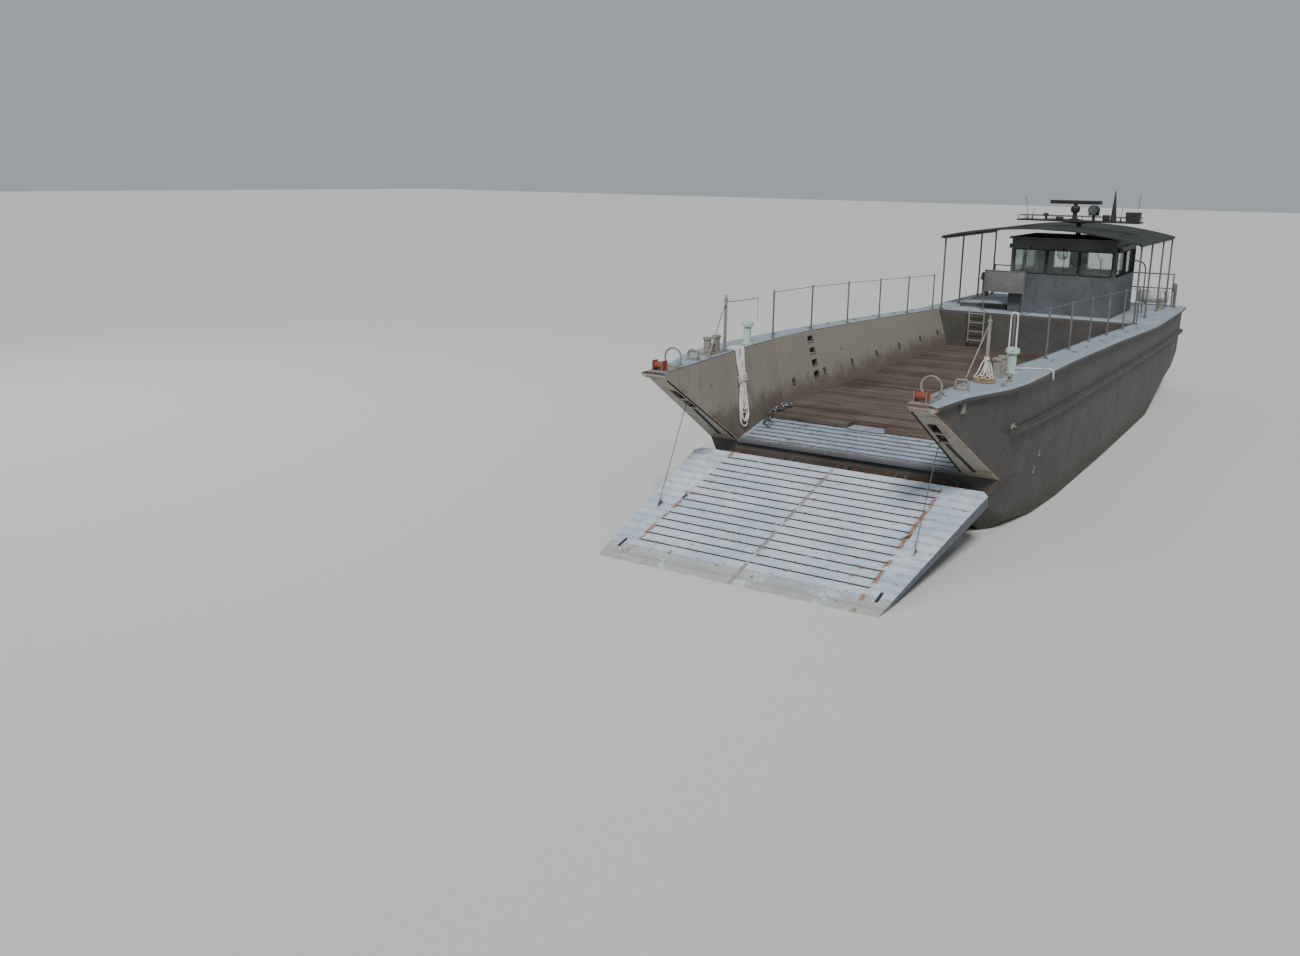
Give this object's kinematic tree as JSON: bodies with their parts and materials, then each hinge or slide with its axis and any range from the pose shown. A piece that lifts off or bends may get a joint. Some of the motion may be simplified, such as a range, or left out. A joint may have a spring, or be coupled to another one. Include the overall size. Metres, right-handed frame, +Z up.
{
  "type": "military landing craft",
  "caption": "Flat-bottomed landing craft with a hinged bow ramp, open cargo well, aft pilothouse under a canopy, and screws and rudders behind skegs.",
  "frame": {"origin": "on the flat bottom of the hull, on the centreline, amidships", "axes": "+X to port, +Y aft, +Z up; the bow ramp faces -Y"},
  "size_m": [6.4702, 23.1619, 6.2703],
  "materials": {
    "hull_paint": "weathered dark haze grey enamel with rust runs",
    "deck_paint": "worn light blue-grey deck paint with rust",
    "deck_timber": "weathered transverse planks",
    "grey_steel": "chipped grey paint over rusting steel",
    "vent_paint": "pale green gloss paint",
    "engine_iron": "oily grey paint",
    "bronze": "cast bronze, dulled by sea water",
    "house_paint": "dark grey paint",
    "window_glass": "clear",
    "dark_fittings": "satin black paint",
    "white_rope": "three-strand white rope, weathered",
    "tan_rope": "three-strand tan rope, weathered",
    "canopy_cloth": "coated dark olive canvas"
  },
  "bodies": {
    "hull": {"hull_bottom": "hull_paint", "hull_side_port": "hull_paint", "hull_side_starboard": "hull_paint", "hull_stern": "hull_paint", "deck_rail_port": "hull_paint", "deck_rail_starboard": "hull_paint", "lower_rail_port": "hull_paint", "lower_rail_starboard": "hull_paint", "transom_rail": "hull_paint", "bow_apron": "deck_paint", "well_timber_deck": "deck_timber", "well_ladder": "grey_steel", "ramp_hinge_lugs": "hull_paint", "ramp_hinge_pin": "grey_steel", "cable_sheave_port": "grey_steel", "cable_sheave_starboard": "grey_steel", "bow_fairlead_port": "grey_steel", "bow_fairlead_starboard": "grey_steel", "bow_bitts_port": "grey_steel", "bow_bitts_starboard": "grey_steel", "bow_pole_port": "grey_steel", "bow_pole_starboard": "grey_steel", "ventilator_port": "vent_paint", "ventilator_starboard": "vent_paint", "guard_rail_port": "grey_steel", "guard_rail_starboard": "grey_steel", "stern_deck": "deck_paint", "engine_port": "engine_iron", "engine_starboard": "engine_iron", "skeg_port": "hull_paint", "skeg_starboard": "hull_paint", "stern_bitts_port": "grey_steel", "stern_bitts_starboard": "grey_steel", "stern_guard_rail": "grey_steel", "pilothouse_walls": "house_paint", "pilothouse_roof": "house_paint", "windscreen": "window_glass", "side_window_port": "window_glass", "side_window_starboard": "window_glass", "helm_console": "dark_fittings", "canopy": "canopy_cloth", "canopy_frame": "dark_fittings", "mast_platform": "house_paint", "radar_pedestal": "dark_fittings", "searchlight": "dark_fittings", "antenna_cone": "dark_fittings", "mast_locker": "dark_fittings", "rope_hank_starboard": "white_rope", "rope_coil_port": "tan_rope", "rope_fan_port": "white_rope", "rope_on_post_port": "white_rope"},
    "ramp": {"ramp": "deck_paint"},
    "screw_port": {"propeller_port": "bronze"},
    "screw_starboard": {"propeller_starboard": "bronze"},
    "rudder_port": {"rudder_port": "hull_paint"},
    "rudder_starboard": {"rudder_starboard": "hull_paint"},
    "door": {"pilothouse_door": "house_paint"},
    "hatch": {"engine_hatch": "deck_paint"},
    "scanner": {"radar_scanner": "dark_fittings"}
  },
  "joints": [
    {"name": "ramp_hinge", "type": "hinge", "parent": "hull", "child": "ramp", "pos_m": [0, -7.82, 1.22], "axis": [-1, 0, 0], "range_deg": [-4, 44.3]},
    {"name": "screw_spin_port", "type": "hinge", "parent": "hull", "child": "screw_port", "pos_m": [1.25, 9.56, 0.44], "axis": [0, 1, 0], "continuous": true},
    {"name": "screw_spin_starboard", "type": "hinge", "parent": "hull", "child": "screw_starboard", "pos_m": [-1.25, 9.56, 0.44], "axis": [0, 1, 0], "continuous": true},
    {"name": "rudder_turn_port", "type": "hinge", "parent": "hull", "child": "rudder_port", "pos_m": [1.25, 10.2, 0.44], "axis": [0, 0, 1], "range_deg": [-35, 35]},
    {"name": "rudder_turn_starboard", "type": "hinge", "parent": "hull", "child": "rudder_starboard", "pos_m": [-1.25, 10.2, 0.44], "axis": [0, 0, 1], "range_deg": [-35, 35]},
    {"name": "door_hinge", "type": "hinge", "parent": "hull", "child": "door", "pos_m": [0.24, 8.7453, 3.88], "axis": [0, 0, -1], "range_deg": [0, 105]},
    {"name": "hatch_hinge", "type": "hinge", "parent": "hull", "child": "hatch", "pos_m": [-2.41, 7.4, 2.9703], "axis": [0, -1, 0], "range_deg": [0, 85]},
    {"name": "scanner_spin", "type": "hinge", "parent": "hull", "child": "scanner", "pos_m": [0.41, 7.3, 5.9], "axis": [0, 0, 1], "continuous": true}
  ],
  "couplings": [
    {"joint": "rudder_turn_starboard", "follows": "rudder_turn_port", "ratio": 1}
  ]
}
